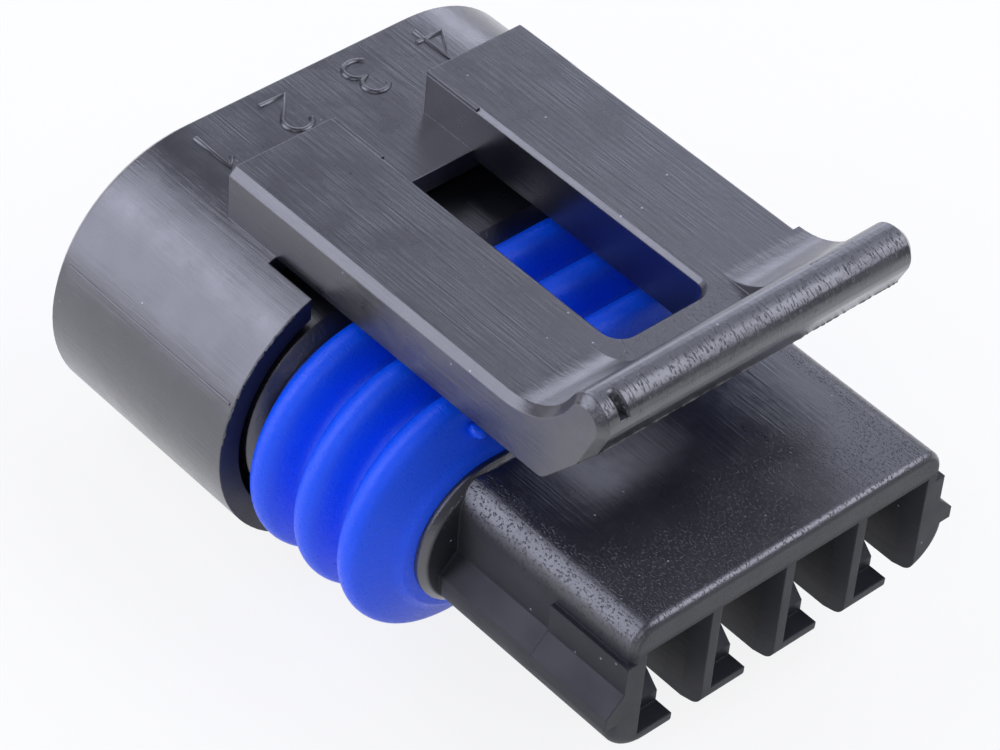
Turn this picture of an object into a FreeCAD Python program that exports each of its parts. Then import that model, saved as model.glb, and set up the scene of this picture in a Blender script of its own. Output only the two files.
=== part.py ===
import FreeCAD, Part
import math
import os
import Sketcher

# Sealed four-way wire connector: a nylon housing with a lever latch,
# a ribbed collar seal on its core and a mat seal at the wire side.
# Frame: origin at the middle of the nose tip, on the axis of the oval seal.
# +X along the row of cavities, +Y back towards the wires, +Z to the latch.

SIZES = [
    # row of cavities
    ("cavity_pitch", 4.0, "distance between neighbouring cavities"),
    ("cavity_width", 3.1, "clear width of a cavity"),
    ("cavity_top", 1.65, "cavity ceiling above the axis"),
    ("cavity_floor", 0.95, "cavity floor below the axis"),
    ("mouth_widening", 0.2, "how far the mouth opens on each side"),
    ("mouth_depth", 0.9, "length of the tapered mouth"),
    ("mouth_rise", 0.3, "mouth ceiling above the cavity ceiling"),
    ("lip_under", 1.7, "front lip below the cavity floor"),
    ("lip_length", 0.65, "length of the flat behind the lip"),
    ("lip_rise", 0.3, "rise of the flat behind the lip"),
    ("slot_offset", 0.12, "near edge of the floor slot from the cavity centre"),
    ("slot_length", 9.0, "length of the floor slot from the nose tip"),
    # nose
    ("nose_wall", 0.95, "side wall of the nose beside the outer cavities"),
    ("nose_half_height", 3.35, "half height of the nose"),
    ("nose_round", 1.15, "rounding of the long top edges"),
    ("nose_front_round", 0.35, "rounding round the front face"),
    ("nose_heel_round", 0.45, "rounding under the front face"),
    ("rail_proud", 0.85, "width of the side rails over the side wall"),
    ("rail_top", 0.05, "root of the rail slope below the axis"),
    ("rail_shoulder", 0.9, "outer edge of the rail slope below the axis"),
    ("rail_round", 2.1, "rounding from the rail face to the flat bottom"),
    ("pad_length", 4.4, "length of the raised pads at the nose tip"),
    ("pad_proud", 0.25, "height of the pads over the side wall"),
    ("pad_top", 1.6, "upper edge of the pads above the axis"),
    # core that carries the collar seal
    ("core_side", 0.95, "core beyond the rails on each side"),
    ("core_rise", 0.2, "core over the top and bottom of the nose"),
    ("core_front", 10.0, "front face of the core"),
    ("core_edge", 0.3, "bevel on the front edge of the core"),
    # collar seal
    ("seal_lead", 0.5, "bare core in front of the collar seal"),
    ("seal_lip", 0.55, "height of the front lip over the core"),
    ("seal_tail", 1.2, "height of the rear end over the core"),
    ("rib_lead", 1.7, "front rib behind the front end of the seal"),
    ("rib_pitch", 2.72, "distance between ribs"),
    ("rib_tail", 1.36, "rear end of the seal behind the rear rib"),
    ("rib_height", 2.3, "rib crest over the core"),
    ("rib_round", 0.85, "radius of a rib crest"),
    ("valley_height", 0.95, "floor between ribs over the core"),
    ("valley_width", 0.4, "width of that floor"),
    # flange behind the collar seal
    ("flange_side", 1.15, "flange over the core at the sides"),
    ("flange_rise", 1.6, "flange over the core at top and bottom"),
    ("flange_edge", 0.6, "bevel on the front edge of the flange"),
    # outer shell
    ("shell_side", 2.6, "shell over the core at the sides"),
    ("shell_rise", 3.35, "shell over the core at top and bottom"),
    ("shell_wall", 1.0, "thickness of the shell skirt"),
    ("shell_setback", 0.5, "front edge of the shell behind the seal"),
    ("shell_length", 11.35, "length of the shell"),
    ("shell_edge", 0.3, "bevel on the rear edge"),
    ("recess_depth", 4.5, "depth of the space behind the front edge"),
    # wire side
    ("wire_wall", 2.3, "wall beside the wire-side pocket"),
    ("wire_wall_top", 2.7, "wall over and under the wire-side pocket"),
    ("pocket_depth", 5.8, "depth of the wire-side pocket"),
    ("mat_thickness", 4.4, "thickness of the mat seal"),
    ("wire_hole", 2.0, "diameter of a wire hole"),
    ("wire_entry", 0.5, "width of the bevelled entry of a wire hole"),
    # latch
    ("arm_outer", 8.0, "outer side of the latch arms from the centre"),
    ("arm_inner", 2.5, "inner side of the latch arms from the centre"),
    ("arm_sink", 0.4, "underside of the arms below the shell's top"),
    ("arm_thickness", 2.6, "height of the arms"),
    ("arm_bevel", 0.35, "bevel on the outer top edge of the arms"),
    ("arm_gap", 0.4, "slot between an arm and the shell"),
    ("root_setback", 2.7, "bend of the arms behind the shell's front edge"),
    ("root_length", 3.1, "length of the blocks that carry the arms"),
    ("window_setback", 3.8, "front end of the latch window behind the bar"),
    ("window_round", 0.8, "corner radius of the latch window"),
    ("window_edge", 0.2, "bevel round the top of the window"),
    ("web_half_width", 3.5, "half width of the flat web before the bar"),
    ("sweep_run", 4.4, "length over which the arms sweep up to the bar"),
    ("bar_centre", 4.5, "centre of the thumb bar crest from the nose tip"),
    ("bar_rise", 1.7, "centre of the crest above the arms"),
    ("bar_round", 1.1, "radius of the thumb bar crest"),
    ("bar_face", 1.4, "height of the front face under the crest centre"),
    ("bar_lean", 0.5, "lean of the bar's front face"),
    ("bar_overhang", 0.8, "right end of the bar beyond the arm"),
    ("chin_run", 1.85, "length of the slanted underside"),
    ("chin_round", 0.7, "rounding under the slanted front"),
    ("bar_notch_inset", 0.9, "notch at the left end of the bar from the side"),
    ("bar_notch_width", 0.5, "width of that notch"),
    ("bar_notch_depth", 0.8, "depth of that notch"),
]

CAVITIES = 4
RIBS = 3
SEAT = "Sizes"


class Size:
    """A length that knows its number and the sheet formula behind it."""

    def __init__(self, value, text=None):
        self.value = float(value)
        self.text = text if text is not None else repr(float(value))

    def _join(self, other, sign, value):
        return Size(value, "(" + self.text + " " + sign + " " + as_size(other).text + ")")

    def __add__(self, other):
        return self._join(other, "+", self.value + as_size(other).value)

    def __sub__(self, other):
        return self._join(other, "-", self.value - as_size(other).value)

    def __mul__(self, other):
        return self._join(other, "*", self.value * as_size(other).value)

    def __truediv__(self, other):
        return self._join(other, "/", self.value / as_size(other).value)

    def __neg__(self):
        return Size(-self.value, "(0 - " + self.text + ")")


def as_size(value):
    return value if isinstance(value, Size) else Size(value)


os.makedirs("parts", exist_ok=True)
doc = FreeCAD.newDocument("SealedConnector")
sheet = doc.addObject("Spreadsheet::Sheet", SEAT)
sizes = {}
for row, (alias, number, note) in enumerate(SIZES, start=1):
    sheet.set("A%d" % row, alias)
    sheet.set("B%d" % row, str(number))
    sheet.set("C%d" % row, note)
    sheet.setAlias("B%d" % row, alias)
    sizes[alias] = Size(number, SEAT + "." + alias)
doc.recompute()


def size(alias):
    return sizes[alias]


# Helpers for bodies, sketches and features

def new_body(label):
    body = doc.addObject("PartDesign::Body", label.title().replace("_", ""))
    body.Label = label
    return body


def new_sketch(body, name, plane, offset=0.0):
    """Sketch on one of the body's own origin planes, moved along its normal."""
    sketch = body.newObject("Sketcher::SketchObject", name)
    support = [f for f in body.Origin.OriginFeatures if f.Role == plane][0]
    sketch.AttachmentSupport = [(support, "")]
    sketch.MapMode = "FlatFace"
    offset = as_size(offset)
    sketch.AttachmentOffset = FreeCAD.Placement(
        FreeCAD.Vector(0, 0, offset.value), FreeCAD.Rotation())
    sketch.setExpression("AttachmentOffset.Base.z", offset.text)
    return sketch


def cross_section(body, name, y):
    """Sketch across the connector at a distance y behind the nose tip."""
    return new_sketch(body, name, "XZ_Plane", -as_size(y))


def hold(sketch, kind, geometry, vertex, value):
    """Dimension from the sketch origin to a point, bound to the sheet."""
    value = as_size(value)
    index = sketch.addConstraint(
        Sketcher.Constraint(kind, -1, 1, geometry, vertex, value.value))
    sketch.setExpression("Constraints[%d]" % index, value.text)


def hold_point(sketch, geometry, vertex, point):
    hold(sketch, "DistanceX", geometry, vertex, point[0])
    hold(sketch, "DistanceY", geometry, vertex, point[1])


def set_radius(sketch, geometry, value):
    index = sketch.addConstraint(
        Sketcher.Constraint("Radius", geometry, value.value))
    sketch.setExpression("Constraints[%d]" % index, value.text)


def vector(point):
    return FreeCAD.Vector(as_size(point[0]).value, as_size(point[1]).value, 0)


def line(sketch, start, end):
    return sketch.addGeometry(Part.LineSegment(vector(start), vector(end)))


def arc(sketch, centre, radius, start, end):
    """Arc from one angle to the other, in radians, anticlockwise."""
    circle = Part.Circle(vector(centre), FreeCAD.Vector(0, 0, 1), radius)
    return sketch.addGeometry(Part.ArcOfCircle(circle, start, end))


def join(sketch, first, first_end, second, second_end, smooth=False):
    kind = "Tangent" if smooth else "Coincident"
    sketch.addConstraint(
        Sketcher.Constraint(kind, first, first_end, second, second_end))


def polygon(sketch, corners):
    """Closed outline through the corners, in order.

    A corner is (x, y), held by two dimensions, or (x, y, radius) where two
    sides parallel to the axes meet in a tangent arc.
    """
    count = len(corners)
    points = [(as_size(c[0]), as_size(c[1])) for c in corners]
    rounds = [c[2] if len(c) > 2 else None for c in corners]

    def heading(i, j):
        dx = points[j][0].value - points[i][0].value
        dy = points[j][1].value - points[i][1].value
        length = math.hypot(dx, dy)
        return round(dx / length, 6), round(dy / length, 6)

    arrive, leave, arcs = [], [], []
    for i in range(count):
        came = heading(i - 1, i)
        goes = heading(i, (i + 1) % count)
        x, y = points[i]
        if rounds[i] is None:
            arrive.append((x, y))
            leave.append((x, y))
            arcs.append(None)
            continue
        r = rounds[i]
        arrive.append((x - r * came[0], y - r * came[1]))
        leave.append((x + r * goes[0], y + r * goes[1]))
        centre = (arrive[i][0] + r * goes[0], arrive[i][1] + r * goes[1])
        left_turn = came[0] * goes[1] - came[1] * goes[0] > 0
        first, last = (arrive[i], leave[i]) if left_turn else (leave[i], arrive[i])
        start = math.atan2(first[1].value - centre[1].value, first[0].value - centre[0].value)
        piece = arc(sketch, centre, r.value, start, start + math.pi / 2)
        hold_point(sketch, piece, 3, centre)
        set_radius(sketch, piece, r)
        arcs.append((piece, left_turn))
    edges = []
    for i in range(count):
        edges.append(line(sketch, leave[i], arrive[(i + 1) % count]))
    for i in range(count):
        before, after = edges[i - 1], edges[i]
        if arcs[i] is None:
            join(sketch, before, 2, after, 1)
            hold_point(sketch, after, 1, points[i])
            continue
        piece, left_turn = arcs[i]
        join(sketch, before, 2, piece, 1 if left_turn else 2, smooth=True)
        join(sketch, piece, 2 if left_turn else 1, after, 1, smooth=True)
    return edges


def mirrored(right_side):
    """Corners of the right side, then their mirror image back down the left."""
    return right_side + [(-c[0],) + tuple(c[1:]) for c in reversed(right_side)]


def rectangle(sketch, left, right, low, high):
    return polygon(sketch, [(left, low), (right, low), (right, high), (left, high)])


def oval(sketch, half_width, half_height):
    """Outline with half-round ends about the sketch origin."""
    across = half_width - half_height
    quarter = math.pi / 2
    right = arc(sketch, (across, 0), half_height.value, -quarter, quarter)
    left = arc(sketch, (-across, 0), half_height.value, quarter, 3 * quarter)
    top = line(sketch, (across, half_height), (-across, half_height))
    bottom = line(sketch, (-across, -half_height), (across, -half_height))
    for first, second in ((right, top), (top, left), (left, bottom), (bottom, right)):
        join(sketch, first, 2, second, 1, smooth=True)
    hold_point(sketch, right, 3, (across, 0))
    hold_point(sketch, left, 3, (-across, 0))
    set_radius(sketch, right, half_height)
    sketch.addConstraint(Sketcher.Constraint("Equal", right, left))


def touch(end, centre, radius, rising):
    """Angle and point where a straight flank from its end touches a circle."""
    across = as_size(end[0]).value - centre[0].value
    down = as_size(end[1]).value - centre[1].value
    swing = math.acos(radius / math.hypot(across, down))
    angle = math.atan2(down, across) + (-swing if rising else swing)
    angle %= 2 * math.pi
    point = (centre[0].value + radius * math.cos(angle),
             centre[1].value + radius * math.sin(angle))
    return angle, point


def check_objects():
    for item in doc.Objects:
        if "Invalid" in item.State or "Error" in item.State:
            raise RuntimeError(item.Name + " failed: " + ", ".join(item.State))


def volume(body):
    doc.recompute()
    return body.Shape.Volume if not body.Shape.isNull() else 0.0


def sweep_out(body, kind, name, sketch, length, reverse=False):
    before = volume(body)
    feature = body.newObject("PartDesign::" + kind, name)
    feature.Profile = sketch
    length = as_size(length)
    feature.Length = length.value
    feature.setExpression("Length", length.text)
    feature.Reversed = reverse
    sketch.Visibility = False
    after = volume(body)
    check_objects()
    grew = after > before + 1e-6
    shrank = after < before - 1e-6
    if (kind == "Pad" and not grew) or (kind == "Pocket" and not shrank):
        raise RuntimeError(name + " changed nothing")
    return feature


def pad(body, name, sketch, length, reverse=False):
    return sweep_out(body, "Pad", name, sketch, length, reverse)


def pocket(body, name, sketch, length, reverse=False):
    return sweep_out(body, "Pocket", name, sketch, length, reverse)


def edges_where(body, test):
    """Names of the edges whose middle and end points all pass the test."""
    names = []
    for number, edge in enumerate(body.Shape.Edges, start=1):
        middle = edge.valueAt((edge.FirstParameter + edge.LastParameter) / 2)
        points = [vertex.Point for vertex in edge.Vertexes] + [middle]
        if all(test(point) for point in points):
            names.append("Edge%d" % number)
    if not names:
        raise RuntimeError("no edge found on " + body.Label)
    return names


def dress(body, kind, name, names, amount):
    feature = body.newObject("PartDesign::" + kind, name)
    feature.Base = (body.Tip if body.Tip != feature else feature.BaseFeature, names)
    prop = "Radius" if kind == "Fillet" else "Size"
    setattr(feature, prop, amount.value)
    feature.setExpression(prop, amount.text)
    doc.recompute()
    check_objects()
    return feature


def near(first, second):
    return abs(first - as_size(second).value) < 1e-4


# Sizes used by name below
pitch = size("cavity_pitch")
half_cavity = size("cavity_width") / 2
overlap = size("shell_wall") / 2
cavity_centres = [pitch * (i - (CAVITIES - 1) / 2) for i in range(CAVITIES)]

# widths and heights, from the cavities outwards
mouth_top = size("cavity_top") + size("mouth_rise")
lip = -size("cavity_floor") - size("lip_under")
nose_half = cavity_centres[-1] + half_cavity + size("nose_wall")
nose_top = size("nose_half_height")
rail_half = nose_half + size("rail_proud")
core_half_width = rail_half + size("core_side")
core_half_height = nose_top + size("core_rise")
flange_half_width = core_half_width + size("flange_side")
flange_half_height = core_half_height + size("flange_rise")
shell_half_width = core_half_width + size("shell_side")
shell_half_height = core_half_height + size("shell_rise")
skirt_half_width = shell_half_width - size("shell_wall")
skirt_half_height = shell_half_height - size("shell_wall")
pocket_half_width = shell_half_width - size("wire_wall")
pocket_half_height = shell_half_height - size("wire_wall_top")
arm_outer = size("arm_outer")
arm_inner = size("arm_inner")
arm_under = shell_half_height - size("arm_sink")
arm_top = arm_under + size("arm_thickness")

# places along the connector, from the nose tip backwards
seal_front = size("core_front") + size("seal_lead")
rib_first = seal_front + size("rib_lead")
seal_rear = rib_first + size("rib_pitch") * (RIBS - 1) + size("rib_tail")
shell_front = seal_rear + size("shell_setback")
shell_rear = shell_front + size("shell_length")
recess_floor = shell_front + size("recess_depth")
pocket_floor = shell_rear - size("pocket_depth")
latch_root = shell_front + size("root_setback")
root_rear = latch_root + size("root_length")


# Housing: shell, flange, core and nose
housing = new_body("housing")

sketch = cross_section(housing, "ShellOutline", shell_rear)
oval(sketch, shell_half_width, shell_half_height)
pad(housing, "Shell", sketch, shell_rear - shell_front)
dress(housing, "Chamfer", "ShellRearEdge",
      edges_where(housing, lambda p: near(p.y, shell_rear)), size("shell_edge"))

sketch = cross_section(housing, "SkirtOutline", shell_front)
oval(sketch, skirt_half_width, skirt_half_height)
pocket(housing, "SkirtSpace", sketch, size("recess_depth"))

sketch = cross_section(housing, "FlangeOutline", recess_floor + overlap)
oval(sketch, flange_half_width, flange_half_height)
pad(housing, "Flange", sketch, recess_floor + overlap - seal_rear)
dress(housing, "Chamfer", "FlangeEdge",
      edges_where(housing, lambda p: near(p.y, seal_rear)), size("flange_edge"))

sketch = cross_section(housing, "CoreOutline", seal_rear + overlap)
oval(sketch, core_half_width, core_half_height)
pad(housing, "Core", sketch, seal_rear + overlap - size("core_front"))
dress(housing, "Chamfer", "CoreFrontEdge",
      edges_where(housing, lambda p: near(p.y, size("core_front"))), size("core_edge"))

sketch = cross_section(housing, "NoseOutline", size("core_front") + overlap)
right_side = [
    (rail_half, -nose_top, size("rail_round")),
    (rail_half, -size("rail_shoulder")),
    (nose_half, -size("rail_top")),
    (nose_half, nose_top, size("nose_round")),
]
polygon(sketch, mirrored(right_side))
pad(housing, "Nose", sketch, size("core_front") + overlap)


# Raised pads on both sides of the nose tip
proud = size("pad_proud")
for name, side in (("Right", 1), ("Left", -1)):
    sketch = cross_section(housing, name + "PadOutline", size("pad_length"))
    outline = [
        (nose_half - proud, size("pad_top")),
        (nose_half + proud, size("pad_top")),
        (nose_half + proud, -size("rail_top") + proud),
        (rail_half + proud, -size("rail_shoulder") + proud),
        (rail_half + proud, size("rail_round") - nose_top),
        (nose_half - proud, size("rail_round") - nose_top),
    ]
    polygon(sketch, [(x * side, z) for x, z in outline])
    pad(housing, name + "Pad", sketch, size("pad_length"))

# Rounded front of the nose
dress(housing, "Fillet", "NoseHeel",
      edges_where(housing, lambda p: near(p.y, 0) and near(p.z, -nose_top)),
      size("nose_heel_round"))
dress(housing, "Fillet", "NoseFrontTop",
      edges_where(housing, lambda p: near(p.y, 0) and near(p.z, nose_top)),
      size("nose_front_round"))

# Cavities, each open at the front and through to the mat seal
for number, centre in enumerate(cavity_centres, start=1):
    tag = "Cavity%d" % number
    left = centre - half_cavity
    right = centre + half_cavity
    mouth_left = left - size("mouth_widening")
    mouth_right = right + size("mouth_widening")
    slot_left = centre + size("slot_offset")

    sketch = cross_section(housing, tag + "Bore", 0)
    rectangle(sketch, left, right, -size("cavity_floor"), size("cavity_top"))
    pocket(housing, tag + "Passage", sketch, pocket_floor + overlap)

    # sloping front of the floor
    sketch = new_sketch(housing, tag + "Ramp", "YZ_Plane", left)
    flat_end = lip + size("lip_rise")
    ramp_end = size("lip_length") - size("cavity_floor") - flat_end
    polygon(sketch, [
        (-overlap, lip),
        (0, lip),
        (size("lip_length"), flat_end),
        (ramp_end, -size("cavity_floor")),
        (ramp_end, as_size(0)),
        (-overlap, as_size(0)),
    ])
    pocket(housing, tag + "FloorRamp", sketch, size("cavity_width"), reverse=True)

    # tapered mouth
    sketch = new_sketch(housing, tag + "Mouth", "XY_Plane", mouth_top)
    polygon(sketch, [
        (mouth_left, as_size(0)),
        (mouth_left, -overlap),
        (mouth_right, -overlap),
        (mouth_right, as_size(0)),
        (right, size("mouth_depth")),
        (left, size("mouth_depth")),
    ])
    pocket(housing, tag + "TaperedMouth", sketch, mouth_top - lip)

    # open slot beside the floor
    sketch = new_sketch(housing, tag + "Slot", "XY_Plane", -size("cavity_floor") + overlap)
    polygon(sketch, [
        (slot_left, -overlap),
        (mouth_right, -overlap),
        (mouth_right, as_size(0)),
        (right, size("mouth_depth")),
        (right, size("slot_length")),
        (slot_left, size("slot_length")),
    ])
    pocket(housing, tag + "FloorSlot", sketch, nose_top)

# Wire-side pocket that takes the mat seal
sketch = cross_section(housing, "PocketOutline", shell_rear)
oval(sketch, pocket_half_width, pocket_half_height)
pocket(housing, "WirePocket", sketch, size("pocket_depth"), reverse=True)

# Notch in the shell under the latch arms
notch_half = arm_outer + size("arm_gap")
notch_floor = flange_half_height + (skirt_half_height - flange_half_height) / 5
sketch = new_sketch(housing, "NotchOutline", "XY_Plane", shell_half_height + overlap)
rectangle(sketch, -notch_half, notch_half, shell_front - overlap, latch_root)
pocket(housing, "LatchNotch", sketch, shell_half_height + overlap - notch_floor)


def arm_section(sketch, side):
    """Section of an arm, with the bevel on its outer top edge."""
    bevel = size("arm_bevel")
    outline = [
        (arm_inner, arm_under),
        (arm_outer, arm_under),
        (arm_outer, arm_top - bevel),
        (arm_outer - bevel, arm_top),
        (arm_inner, arm_top),
    ]
    polygon(sketch, [(x * side, z) for x, z in outline])


# Blocks on the shell that carry the latch arms
for name, side in (("Right", 1), ("Left", -1)):
    sketch = cross_section(housing, name + "RootOutline", root_rear)
    arm_section(sketch, side)
    pad(housing, name + "Root", sketch, root_rear - latch_root)


# Latch: two arms, a web and a thumb bar
latch = new_body("latch")

bar_round = size("bar_round")
bar_centre = (size("bar_centre"), arm_top + size("bar_rise"))
bar_top = bar_centre[1] + bar_round
bar_front = bar_centre[0] - bar_round
bar_rear = bar_centre[0] + bar_round
bar_lower = (bar_front + size("bar_lean"), bar_centre[1] - size("bar_face"))
bar_end = arm_outer + size("bar_overhang")
chin_rear = bar_centre[0] + size("chin_run")
window_front = bar_centre[0] + size("window_setback")
sweep_start = bar_centre[0] + size("sweep_run")
run = size("sweep_run")
rise = size("bar_rise")
sweep_round = (run * run + rise * rise - bar_round * bar_round) / ((rise + bar_round) * 2)
sweep_centre = (sweep_start, arm_top + sweep_round)

sketch = new_sketch(latch, "SideProfile", "YZ_Plane", -arm_outer)
reach = math.atan2(sweep_centre[1].value - bar_centre[1].value,
                   sweep_centre[0].value - bar_centre[0].value)
face_angle, face_top = touch(bar_lower, bar_centre, bar_round.value, True)
sweep = arc(sketch, sweep_centre, sweep_round.value, reach + math.pi, 1.5 * math.pi)
crest = arc(sketch, bar_centre, bar_round.value, reach, face_angle)
corners = [
    face_top,
    bar_lower,
    (chin_rear, arm_under),
    (latch_root, arm_under),
    (latch_root, arm_top),
    (sweep_start, arm_top),
]
edges = [line(sketch, corners[i], corners[i + 1]) for i in range(len(corners) - 1)]
for i in range(len(edges) - 1):
    join(sketch, edges[i], 2, edges[i + 1], 1)
join(sketch, edges[-1], 2, sweep, 2, smooth=True)
join(sketch, sweep, 1, crest, 1, smooth=True)
join(sketch, crest, 2, edges[0], 1, smooth=True)
for i in range(1, len(edges)):
    hold_point(sketch, edges[i], 1, corners[i])
hold(sketch, "DistanceX", edges[-1], 2, corners[-1][0])
hold_point(sketch, crest, 3, bar_centre)
set_radius(sketch, crest, bar_round)
pad(latch, "Plate", sketch, arm_outer * 2)

dress(latch, "Fillet", "ChinEdge",
      edges_where(latch, lambda p: near(p.y, chin_rear) and near(p.z, arm_under)),
      size("chin_round"))

# right end of the thumb bar, beyond the arm
sketch = new_sketch(latch, "BarEndProfile", "YZ_Plane", arm_outer)
crest = arc(sketch, bar_centre, bar_round.value, 0, face_angle)
corners = [
    face_top,
    bar_lower,
    (bar_rear, bar_lower[1]),
    (bar_rear, bar_centre[1]),
]
edges = [line(sketch, corners[i], corners[i + 1]) for i in range(len(corners) - 1)]
for i in range(len(edges) - 1):
    join(sketch, edges[i], 2, edges[i + 1], 1)
join(sketch, edges[-1], 2, crest, 1, smooth=True)
join(sketch, crest, 2, edges[0], 1, smooth=True)
for i in range(1, len(edges)):
    hold_point(sketch, edges[i], 1, corners[i])
hold_point(sketch, crest, 3, bar_centre)
set_radius(sketch, crest, bar_round)
pad(latch, "BarEnd", sketch, bar_end - arm_outer)


# bevel along the left edge, from the arm over the crest and down the front face
dress(latch, "Chamfer", "LeftBevel",
      edges_where(latch, lambda p: near(p.x, -arm_outer)
                  and (p.z > arm_top.value - 1e-4
                       or (p.y < bar_lower[0].value + 1e-4
                           and p.z > bar_lower[1].value - 1e-4))),
      size("arm_bevel"))

# the same bevel on the straight part of the right arm
sketch = cross_section(latch, "RightBevelSection", latch_root)
bevel = size("arm_bevel")
polygon(sketch, [
    (arm_outer - bevel, arm_top),
    (arm_outer, arm_top - bevel),
    (arm_outer + bevel, arm_top - bevel),
    (arm_outer + bevel, arm_top + bevel),
    (arm_outer - bevel, arm_top + bevel),
])
pocket(latch, "RightBevel", sketch, latch_root - sweep_start, reverse=True)

# and round the overhanging end of the bar
dress(latch, "Chamfer", "BarEndBevel",
      edges_where(latch, lambda p: near(p.x, bar_end)), size("arm_bevel"))

# window between the arms, and the flat web in front of it
sketch = new_sketch(latch, "WindowOutline", "XY_Plane", arm_top + overlap)
rectangle(sketch, -arm_inner, arm_inner, window_front, latch_root + overlap)
pocket(latch, "Window", sketch, arm_top + overlap - arm_under + overlap)
dress(latch, "Fillet", "WindowCorners",
      edges_where(latch, lambda p: near(abs(p.x), arm_inner) and near(p.y, window_front)),
      size("window_round"))

sketch = new_sketch(latch, "WebOutline", "XY_Plane", arm_top)
rectangle(sketch, -size("web_half_width"), size("web_half_width"), bar_rear, sweep_start)
pocket(latch, "WebStep", sketch, bar_top - arm_top + overlap, reverse=True)
dress(latch, "Chamfer", "WindowEdge",
      edges_where(latch, lambda p: near(abs(p.x), arm_inner) and near(p.z, arm_top)),
      size("window_edge"))

# small notch at the left end of the thumb bar
notch_left = -arm_outer + size("bar_notch_inset")
sketch = new_sketch(latch, "BarNotchOutline", "XY_Plane", bar_top + overlap)
rectangle(sketch, notch_left, notch_left + size("bar_notch_width"),
          bar_front - overlap, bar_centre[0])
pocket(latch, "BarNotch", sketch, size("bar_notch_depth") + overlap)


# Collar seal: a ribbed section carried round the core
ring_seal = new_body("ring_seal")
straight = core_half_width - core_half_height
section = new_sketch(ring_seal, "SealSection", "YZ_Plane", straight)

rib_round = size("rib_round")
crest_level = core_half_height + size("rib_height") - rib_round
floor_level = core_half_height + size("valley_height")
half_floor = size("valley_width") / 2
front_foot = (seal_front, core_half_height)
rear_foot = (seal_rear, core_half_height)

# crest centres, and the points where the straight flanks end
crests = [(rib_first + size("rib_pitch") * i, crest_level) for i in range(RIBS)]
ends = [(seal_front, core_half_height + size("seal_lip"))]
for crest in crests[:-1]:
    valley = crest[0] + size("rib_pitch") / 2
    ends.append((valley - half_floor, floor_level))
    ends.append((valley + half_floor, floor_level))
ends.append((seal_rear, core_half_height + size("seal_tail")))

last = line(section, front_foot, ends[0])
hold_point(section, last, 1, front_foot)
for i in range(RIBS):
    before, after = ends[2 * i], ends[2 * i + 1]
    up, top_of_rise = touch(before, crests[i], rib_round.value, True)
    down, top_of_fall = touch(after, crests[i], rib_round.value, False)
    rise = line(section, before, top_of_rise)
    crown = arc(section, crests[i], rib_round.value, down, up)
    fall = line(section, top_of_fall, after)
    join(section, last, 2, rise, 1)
    join(section, rise, 2, crown, 2, smooth=True)
    join(section, crown, 1, fall, 1, smooth=True)
    hold_point(section, rise, 1, before)
    hold_point(section, crown, 3, crests[i])
    set_radius(section, crown, rib_round)
    following = ends[2 * i + 2] if i < RIBS - 1 else rear_foot
    last = line(section, after, following)
    join(section, fall, 2, last, 1)
    hold_point(section, last, 1, after)
base = line(section, rear_foot, front_foot)
join(section, last, 2, base, 1)
hold_point(section, base, 1, rear_foot)
section.addConstraint(Sketcher.Constraint("Coincident", base, 2, 0, 1))
doc.recompute()

# the section turned round one end and drawn along the top, then both half a turn on
round_end = ring_seal.newObject("PartDesign::Revolution", "RoundEnd")
round_end.Profile = section
round_end.ReferenceAxis = (section, ["H_Axis"])
round_end.Angle = 180
section.Visibility = False
doc.recompute()
check_objects()
top_run = pad(ring_seal, "TopRun", section, straight * 2, reverse=True)
axis = [f for f in ring_seal.Origin.OriginFeatures if f.Role == "Y_Axis"][0]
other_half = ring_seal.newObject("PartDesign::PolarPattern", "OtherHalf")
other_half.Originals = [round_end, top_run]
other_half.Axis = (axis, [""])
other_half.Angle = 360
other_half.Occurrences = 2
ring_seal.Tip = other_half
doc.recompute()
check_objects()


# Mat seal at the wire side
cable_seal = new_body("cable_seal")
mat_rear = pocket_floor + size("mat_thickness")
sketch = cross_section(cable_seal, "MatOutline", mat_rear)
oval(sketch, pocket_half_width, pocket_half_height)
pad(cable_seal, "Mat", sketch, size("mat_thickness"))

hole_level = (size("cavity_top") - size("cavity_floor")) / 2
sketch = cross_section(cable_seal, "WireHoleCircles", mat_rear)
for centre in cavity_centres:
    circle = Part.Circle(vector((centre, hole_level)), FreeCAD.Vector(0, 0, 1),
                         size("wire_hole").value / 2)
    index = sketch.addGeometry(circle)
    hold_point(sketch, index, 3, (centre, hole_level))
    diameter = sketch.addConstraint(
        Sketcher.Constraint("Diameter", index, size("wire_hole").value))
    sketch.setExpression("Constraints[%d]" % diameter, size("wire_hole").text)
pocket(cable_seal, "WireHoles", sketch, size("mat_thickness"), reverse=True)
hole_reach = size("wire_hole").value / 2 + 1e-4
dress(cable_seal, "Chamfer", "WireEntries",
      edges_where(cable_seal, lambda p: near(p.y, mat_rear)
                  and any(math.hypot(p.x - c.value, p.z - hole_level.value) < hole_reach
                          for c in cavity_centres)),
      size("wire_entry"))


# Check every object, then write each piece
doc.recompute()
check_objects()
for body in (housing, latch, ring_seal, cable_seal):
    shape = body.Shape
    if shape.isNull() or not shape.isValid():
        raise RuntimeError(body.Label + " has no valid shape")
    if len(shape.Solids) != 1:
        raise RuntimeError(body.Label + " is not one solid")
    shape.exportStep("parts/" + body.Label + ".step")
    box = shape.BoundBox
    print("%-11s volume %8.1f mm3, x %.2f to %.2f, y %.2f to %.2f, z %.2f to %.2f" % (
        body.Label, shape.Volume, box.XMin, box.XMax, box.YMin, box.YMax, box.ZMin, box.ZMax))
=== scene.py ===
# %% [markdown]
# # A sealed wire connector
# The part is a black nylon housing with a lever latch moulded on its back, a
# ribbed blue silicone collar round its core, and a blue mat seal at the wire
# side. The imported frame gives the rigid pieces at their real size. This lesson
# gives each of them its finish, builds the seals and small mouldings that need
# finer meshes, and lights the whole like a product photograph.

# %% Load the frame
import math
import random

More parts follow.
